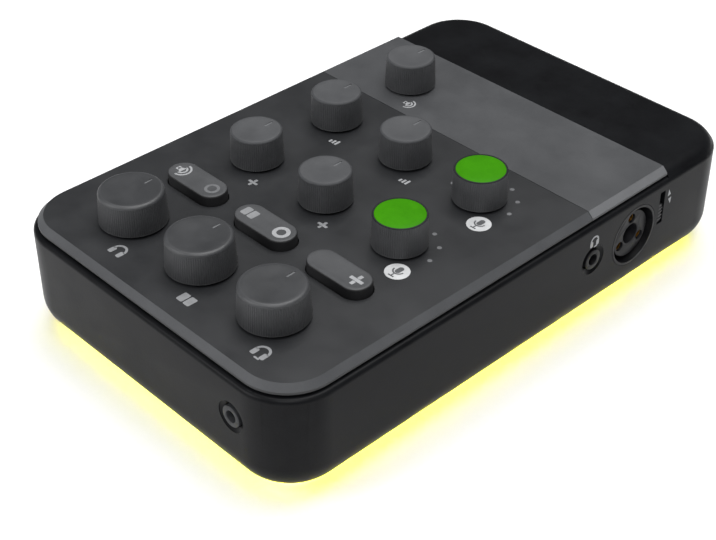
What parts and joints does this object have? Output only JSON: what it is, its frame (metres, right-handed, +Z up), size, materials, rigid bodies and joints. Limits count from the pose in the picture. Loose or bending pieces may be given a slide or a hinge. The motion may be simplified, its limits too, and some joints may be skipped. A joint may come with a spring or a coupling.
{
  "type": "streaming audio mixer",
  "caption": "Desk-top streaming audio mixer: low round-cornered case with turning knobs, lit selectors, pill push-buttons, side and rear plug sockets and a light ring underneath.",
  "frame": {"origin": "Middle of the bounding box at the level of the feet", "axes": "X to the right as the user faces it, Y to the rear along the case, Z up"},
  "size_m": [0.1178, 0.1864, 0.0502],
  "materials": {
    "case_black": "fine matt moulded black",
    "deck_grey": "satin dark grey",
    "badge_grey": "satin mid grey",
    "knob_grey": "matt soft-touch dark grey",
    "pill_grey": "matt silicone grey",
    "lens_green": "lit translucent green",
    "light_guide": "lit diffusing plastic",
    "strip_white": "white flexible circuit",
    "foot_rubber": "matt rubber",
    "screw_steel": "plated steel",
    "board_green": "green solder mask",
    "socket_black": "moulded black",
    "insert_grey": "moulded dark grey",
    "shaft_metal": "plated steel",
    "contact_gold": "gold-plated brass",
    "lever_grey": "moulded dark grey"
  },
  "bodies": {
    "case": {"shell": "case_black", "base_plate": "case_black", "deck": "deck_grey", "badge_plate": "badge_grey", "light_ring": "light_guide", "led_strip": "strip_white", "feet": "foot_rubber", "case_screws": "screw_steel", "deck_screws": "screw_steel", "main_board": "board_green", "io_board": "board_green", "board_link": "socket_black", "board_screws": "screw_steel", "pots": "socket_black", "encoders": "socket_black", "tact_switches": "socket_black", "combo_housing": "socket_black", "combo_insert": "insert_grey", "combo_contacts": "contact_gold", "side_jack": "socket_black", "front_jack": "socket_black", "rear_jack": "socket_black", "out_jack_left": "socket_black", "out_jack_right": "socket_black", "usb_socket": "shaft_metal", "usb_tongue": "socket_black", "switch_body": "socket_black"},
    "turn_big_left": {"knob_big_left": "knob_grey", "shaft_big_left": "shaft_metal"},
    "turn_big_mid": {"knob_big_mid": "knob_grey", "shaft_big_mid": "shaft_metal"},
    "turn_big_right": {"knob_big_right": "knob_grey", "shaft_big_right": "shaft_metal"},
    "turn_a_left": {"knob_a_left": "knob_grey", "shaft_a_left": "shaft_metal"},
    "turn_a_mid": {"knob_a_mid": "knob_grey", "shaft_a_mid": "shaft_metal"},
    "turn_a_lit": {"knob_a_lit": "knob_grey", "shaft_a_lit": "shaft_metal", "lens_a": "lens_green"},
    "turn_b_left": {"knob_b_left": "knob_grey", "shaft_b_left": "shaft_metal"},
    "turn_b_mid": {"knob_b_mid": "knob_grey", "shaft_b_mid": "shaft_metal"},
    "turn_b_lit": {"knob_b_lit": "knob_grey", "shaft_b_lit": "shaft_metal", "lens_b": "lens_green"},
    "turn_c": {"knob_c": "knob_grey", "shaft_c": "shaft_metal"},
    "press_left": {"button_left": "pill_grey"},
    "press_mid": {"button_mid": "pill_grey"},
    "press_right": {"button_right": "pill_grey"},
    "switch": {"switch_slider": "lever_grey"}
  },
  "joints": [
    {"name": "big_left_turn", "type": "hinge", "parent": "case", "child": "turn_big_left", "pos_m": [-0.03, -0.0705, 0.045], "axis": [0, 0, 1], "range_deg": [-150, 150]},
    {"name": "big_mid_turn", "type": "hinge", "parent": "case", "child": "turn_big_mid", "pos_m": [0, -0.0705, 0.045], "axis": [0, 0, 1], "range_deg": [-150, 150]},
    {"name": "big_right_turn", "type": "hinge", "parent": "case", "child": "turn_big_right", "pos_m": [0.03, -0.0705, 0.045], "axis": [0, 0, 1], "range_deg": [-150, 150]},
    {"name": "a_left_turn", "type": "hinge", "parent": "case", "child": "turn_a_left", "pos_m": [-0.03, -0.0247, 0.045], "axis": [0, 0, 1], "range_deg": [-150, 150]},
    {"name": "a_mid_turn", "type": "hinge", "parent": "case", "child": "turn_a_mid", "pos_m": [0, -0.0247, 0.045], "axis": [0, 0, 1], "range_deg": [-150, 150]},
    {"name": "a_lit_turn", "type": "hinge", "parent": "case", "child": "turn_a_lit", "pos_m": [0.03, -0.0247, 0.045], "axis": [0, 0, 1], "continuous": true},
    {"name": "b_left_turn", "type": "hinge", "parent": "case", "child": "turn_b_left", "pos_m": [-0.03, 0.0076, 0.045], "axis": [0, 0, 1], "range_deg": [-150, 150]},
    {"name": "b_mid_turn", "type": "hinge", "parent": "case", "child": "turn_b_mid", "pos_m": [0, 0.0076, 0.045], "axis": [0, 0, 1], "range_deg": [-150, 150]},
    {"name": "b_lit_turn", "type": "hinge", "parent": "case", "child": "turn_b_lit", "pos_m": [0.03, 0.0076, 0.045], "axis": [0, 0, 1], "continuous": true},
    {"name": "c_turn", "type": "hinge", "parent": "case", "child": "turn_c", "pos_m": [-0.03, 0.0399, 0.045], "axis": [0, 0, 1], "range_deg": [-150, 150]},
    {"name": "left_press", "type": "slide", "parent": "case", "child": "press_left", "axis": [0, 0, 1], "range_m": [-0.001, 0], "stiffness_N_per_m": 1200},
    {"name": "mid_press", "type": "slide", "parent": "case", "child": "press_mid", "axis": [0, 0, 1], "range_m": [-0.001, 0], "stiffness_N_per_m": 1200},
    {"name": "right_press", "type": "slide", "parent": "case", "child": "press_right", "axis": [0, 0, 1], "range_m": [-0.001, 0], "stiffness_N_per_m": 1200},
    {"name": "switch_slide", "type": "slide", "parent": "case", "child": "switch", "axis": [0, 0, 1], "range_m": [0, 0.0044]}
  ]
}
